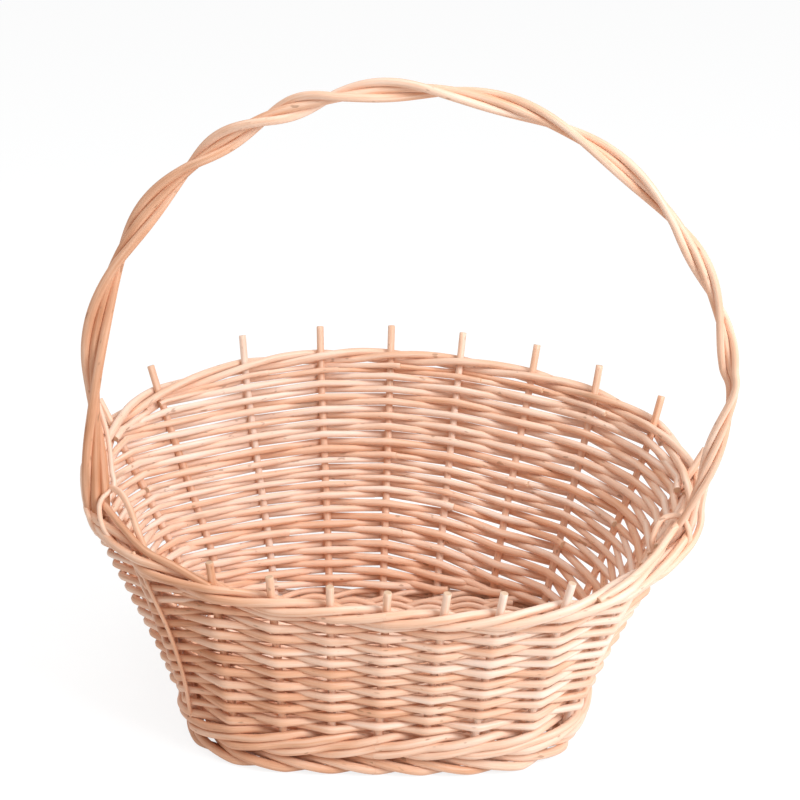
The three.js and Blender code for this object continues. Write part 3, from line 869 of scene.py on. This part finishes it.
for stick in range(STICKS):
    x = (stick - STICKS // 2) * STICK_PITCH
    reach = base_reach(x, BASE_WIDE, BASE_DEEP)
    y = np.linspace(-reach, reach, STICK_STEPS)
    line = np.stack([np.full_like(y, x), y, np.full_like(y, BASE_LEVEL)], -1)
    rib = rod(settle(line, BASE_LIFT), (0, 0, 1), BASE_ROD)
    make_piece("base_rib_%d" % (stick + 1), [rib], "base", "base_stick_%d" % (stick + 1))

base_rods = []
for row in range(-ROWS_EACH_SIDE, ROWS_EACH_SIDE + 1):
    y = row * BASE_ROW_PITCH
    reach = base_reach(y, BASE_DEEP, BASE_WIDE)
    x = np.linspace(-reach, reach, BASE_ROW_STEPS)
    swing = np.cos(np.pi * (x / STICK_PITCH + row)) * BASE_SWING
    line = np.stack([x, np.full_like(x, y), BASE_LEVEL + swing], -1)
    base_rods.append(rod(settle(line, BASE_LIFT), (0, 1, 0), BASE_ROD, sides=8))
make_piece("base_weave", base_rods, "base", "base_weaver")


# Handle

# The arch is half an ellipse, across and up; its feet stand at these places across and back
ARCH_MIDDLE = np.array([13.5, 225.0])
ARCH_REACH = np.array([204.0, 199.0])
ARCH_FEET = [-190, 195]
ARCH_FEET_BACK = [-25, -10]
# The handle's rods go this far down into the wall
LEG_DEPTH = 14.0
# Turns of the arch, from the right foot, where the ribbon of three rods is seen edge on
EDGE_ON = np.radians([-40, -18, 1.1, 18.8, 36.5, 60.5, 83.5, 102.5, 115.5, 131, 154, 185.5, 215])
TWIST_START = -2
# Radius of a strand along the arch: thin at the right foot, thick at the left
STRAND_TURNS = np.radians([-20, 30, 100, 160, 200])
STRAND_RADII = [2.3, 2.45, 2.7, 3.1, 3.2]
# Steps between strands and how far the middle one rides up, in radii
STRAND_STEP = 1.8
RIDE_TURNS = np.radians([60, 150])
RIDES = [0.85, 0.5]
ARCH_KNOTS = 25
HANDLE_STEPS = 420


def arch_line(turn):
    """The handle's middle line by the turn of an ellipse, leaning from the left foot to the right foot."""
    x = ARCH_MIDDLE[0] + ARCH_REACH[0] * np.cos(turn)
    z = ARCH_MIDDLE[1] + ARCH_REACH[1] * np.sin(turn)
    y = np.interp(x, ARCH_FEET, ARCH_FEET_BACK)
    return np.stack([x, y, z], -1)


def handle_line():
    """Middle line of the handle from the right border over the arch to the left border, in even steps."""
    right = [stake_point(RIGHT_LEG, STAKE_LENGTH[RIGHT_LEG] - depth) for depth in (LEG_DEPTH, 0.0)]
    left = [stake_point(LEFT_LEG, STAKE_LENGTH[LEFT_LEG] - depth) for depth in (0.0, LEG_DEPTH)]
    arch = arch_line(np.linspace(0, np.pi, ARCH_KNOTS))
    return curve_through(np.concatenate([right, arch, left]), HANDLE_STEPS)


HANDLE_LINE = handle_line()
FROM_MIDDLE = (HANDLE_LINE[:, [0, 2]] - ARCH_MIDDLE) / ARCH_REACH
HANDLE_TURN = np.unwrap(np.arctan2(FROM_MIDDLE[:, 1], FROM_MIDDLE[:, 0]))
TWIST = np.pi * np.interp(HANDLE_TURN, EDGE_ON, np.arange(len(EDGE_ON)) + TWIST_START)
STRAND = np.interp(HANDLE_TURN, STRAND_TURNS, STRAND_RADII)


def ribbon_frame():
    """Across and through the handle's ribbon of three rods, which turns as it goes along."""
    ahead = unit(np.gradient(HANDLE_LINE, axis=0))
    across = unit(np.array([0.0, 1.0, 0.0]) - ahead * ahead[:, 1:2])
    inward = np.cross(ahead, across)
    flat = across * np.cos(TWIST)[:, None] + inward * np.sin(TWIST)[:, None]
    return flat, np.cross(ahead, flat)


RIBBON_FLAT, RIBBON_FACE = ribbon_frame()


def strand_line(hand):
    """A strand of the handle: the outer two lie side by side, the middle one rides up between them."""
    step = STRAND_STEP * STRAND[:, None]
    ride = np.interp(HANDLE_TURN, RIDE_TURNS, RIDES)[:, None] * STRAND[:, None]
    return HANDLE_LINE + RIBBON_FLAT * hand * step + RIBBON_FACE * ride * (1 / 3 if hand else -2 / 3)


def strand_rod(hand):
    """A strand of the handle as a round rod: 1 the right one, 0 the middle one and -1 the left one."""
    return rod(strand_line(hand), (0.0, 1.0, 0.0), STRAND, sides=14)


# A way that no laid rod runs along, from which its rings are turned
LAID_UP = (0.58, 0.77, 0.27)
LAID_STEPS = 80


def laid_rod(knots, thick):
    """A rod laid through listed places at the rim.

    A place is the stakes round, the millimetres above the rim and the millimetres out of the wall.
    """
    places = []
    for where, above, out in knots:
        places.append(wall_line([where], lambda number: STAKE_LENGTH[number % STAKES] + above, out)[0])
    return rod(curve_through(places, LAID_STEPS), LAID_UP, thick)


# Tails of the handle's strands, laid along the border towards the front, and their radii
RIGHT_TAIL_ROD = 2.5
LEFT_TAIL_ROD = 2.4
RIGHT_TAIL = [(5.1, 10, -2), (4.95, 0, -4), (4.75, 0, -3), (4.4, 2, 0), (4.0, 2, 2), (3.5, -3, 4)]
LEFT_TAIL = [(16.95, 10, -2), (17.1, 4, -4), (17.5, 3, -3), (18.0, 2, 0), (18.5, 2, 2), (19.0, -2, 4)]

bow_rods = [strand_rod(0)]
for leg in (RIGHT_LEG, LEFT_LEG):
    bow_rods.append(stake_rod(leg, 0.0))
right_rods = [strand_rod(1), laid_rod(RIGHT_TAIL, RIGHT_TAIL_ROD)]
left_rods = [strand_rod(-1)]
for name, rods, node in (
    ("handle_rod_middle", bow_rods, "handle_bow"),
    ("handle_rod_right", right_rods, "handle_wrap_1"),
    ("handle_rod_left", left_rods, "handle_wrap_2"),
):
    # painted shade darkens the handle towards the left
    make_piece(name, rods, "handle", node, spread=0.1, painted_shade_left=0.3)

# Thin rods that bind the handle's feet into the border, and their radii
RIGHT_LOOP_ROD = 1.9
RIGHT_STRAP_ROD = 2.3
LEFT_LOOP_ROD = 2.0
LEFT_WINDER_ROD = 1.7
LEFT_STRAP_ROD = 2.2
LEFT_DIAGONAL_ROD = 1.3
RIGHT_LOOP = [
    (4.85, -18, -6), (4.85, -13, -11), (4.95, -4, -14), (5.0, 2, -9),
    (4.97, 5, -2), (4.92, -1, 8), (4.88, -11, 9), (4.85, -17, 4),
]
RIGHT_STRAP = [
    (5.3, 24, -4), (5.22, 10, 3), (5.1, 3, 9), (4.9, -3, 11),
    (4.6, -8, 10), (4.4, -9, 8), (4.2, -12, 4),
]
LEFT_LOOP = [(16.75, 2, -6), (16.78, 3, 2), (16.9, 1, 6), (17.05, -1, 7.5), (17.05, -10, 8), (17.1, -20, 5)]
LEFT_WINDER = [
    (17.0, 60, -32), (17.05, 40, -27), (17.05, 20, -19.5), (17.08, 10.5, -15.5),
    (17.15, 9.5, -4.5), (17.17, 5, 0.5), (17.3, -1, 5), (17.45, -8, 5),
]
LEFT_STRAP = [(16.95, 8, -12), (17.3, 13, -15), (17.55, 11, -12), (17.75, 6, -7), (17.85, -6, -5)]
LEFT_DIAGONAL = [
    (17.9, 0, 5), (18.1, -25, 7), (18.2, -50, 6.5),
    (18.22, -80, 6.5), (18.15, -105, 6.5), (18.05, -118, 5),
]
left_winders = [
    laid_rod(LEFT_LOOP, LEFT_LOOP_ROD),
    laid_rod(LEFT_WINDER, LEFT_WINDER_ROD),
    laid_rod(LEFT_TAIL, LEFT_TAIL_ROD),
]
right_loops = [laid_rod(RIGHT_LOOP, RIGHT_LOOP_ROD)]
right_straps = [laid_rod(RIGHT_STRAP, RIGHT_STRAP_ROD)]
left_straps = [laid_rod(LEFT_STRAP, LEFT_STRAP_ROD), laid_rod(LEFT_DIAGONAL, LEFT_DIAGONAL_ROD)]
for name, rods, node in (
    ("foot_binding_right_1", right_loops, "handle_lashing_right_1"),
    ("foot_binding_right_2", right_straps, "handle_lashing_right_2"),
    ("foot_binding_left_1", left_winders, "handle_lashing_left_1"),
    ("foot_binding_left_2", left_straps, "handle_lashing_left_2"),
):
    make_piece(name, rods, "handle", node)


# Stage, light and camera
def white_floor():
    """A white floor that looks white to the camera and keeps a faint shadow of the basket."""
    mesh = bpy.data.meshes.new("white_floor")
    reach = 6.0
    corners = [(-reach, -reach, 0), (reach, -reach, 0), (reach, reach, 0), (-reach, reach, 0)]
    mesh.from_pydata(corners, [], [(0, 1, 2, 3)])
    floor = bpy.data.objects.new("white_floor", mesh)
    bpy.context.collection.objects.link(floor)
    material = bpy.data.materials.new("white_floor")
    material.use_nodes = True
    tree = material.node_tree
    shader = tree.nodes["Principled BSDF"]
    shader.inputs["Roughness"].default_value = 1.0
    shader.inputs["Specular IOR Level"].default_value = 0.0
    shader.inputs["Emission Strength"].default_value = 1.0
    ray = tree.nodes.new("ShaderNodeLightPath").outputs
    seen = link_value(tree, "ShaderNodeMath", "MAXIMUM", ray["Is Camera Ray"], ray["Is Glossy Ray"])
    glow = blend_colour(tree, seen, (0, 0, 0), (0.84, 0.84, 0.84))
    tree.links.new(glow, shader.inputs["Emission Color"])
    own = blend_colour(tree, seen, (0.8, 0.8, 0.8), (0.22, 0.22, 0.22))
    tree.links.new(own, shader.inputs["Base Color"])
    mesh.materials.append(material)


def white_surroundings(strength):
    """White to the camera, and an even fill light for the basket."""
    world = bpy.data.worlds.new("white_surroundings")
    bpy.context.scene.world = world
    world.use_nodes = True
    tree = world.node_tree
    background = tree.nodes["Background"]
    background.inputs["Color"].default_value = (1, 1, 1, 1)
    ray = tree.nodes.new("ShaderNodeLightPath").outputs
    glow = link_value(tree, "ShaderNodeMath", "MULTIPLY_ADD", ray["Is Camera Ray"], 1 - strength)
    glow.node.inputs[2].default_value = strength
    tree.links.new(glow, background.inputs["Strength"])


def lamp(name, place, target, size, power, colour=(1.0, 1.0, 1.0)):
    """A square soft light that points at a target."""
    light = bpy.data.lights.new(name, "AREA")
    light.size = size
    light.energy = power
    light.color = colour
    holder = bpy.data.objects.new(name, light)
    holder.location = place
    holder.rotation_euler = (Vector(target) - Vector(place)).to_track_quat("-Z", "Y").to_euler()
    bpy.context.collection.objects.link(holder)


# Strength of the fill light, the point that the lamps are turned to and the key's cool white
FILL = 0.52
LIT_POINT = (0, 0, 0.12)
COOL_WHITE = (0.88, 0.95, 1.0)
white_floor()
white_surroundings(FILL)
lamp("soft_key", place=(1.5, -0.9, 1.3), target=LIT_POINT, size=1.0, power=38, colour=COOL_WHITE)
lamp("soft_top", place=(-0.3, -0.2, 1.8), target=LIT_POINT, size=1.2, power=9)

# The photo's camera: its place from the middle of the basket's lay-out and the way it looks
CAMERA_PLACE = (0.1359, -1.2074, 0.681)
CAMERA_LOOKS = (-0.0996, 0.9286, -0.3575)
lens = bpy.data.cameras.new("photo_camera")
lens.lens = 90.0
lens.sensor_width = 36.0
camera = bpy.data.objects.new("photo_camera", lens)
camera.location = Vector(BASE_MIDDLE) + Vector(CAMERA_PLACE)
camera.rotation_euler = Vector(CAMERA_LOOKS).to_track_quat("-Z", "Y").to_euler()
bpy.context.collection.objects.link(camera)
bpy.context.scene.camera = camera
bpy.context.scene.view_settings.view_transform = "Standard"
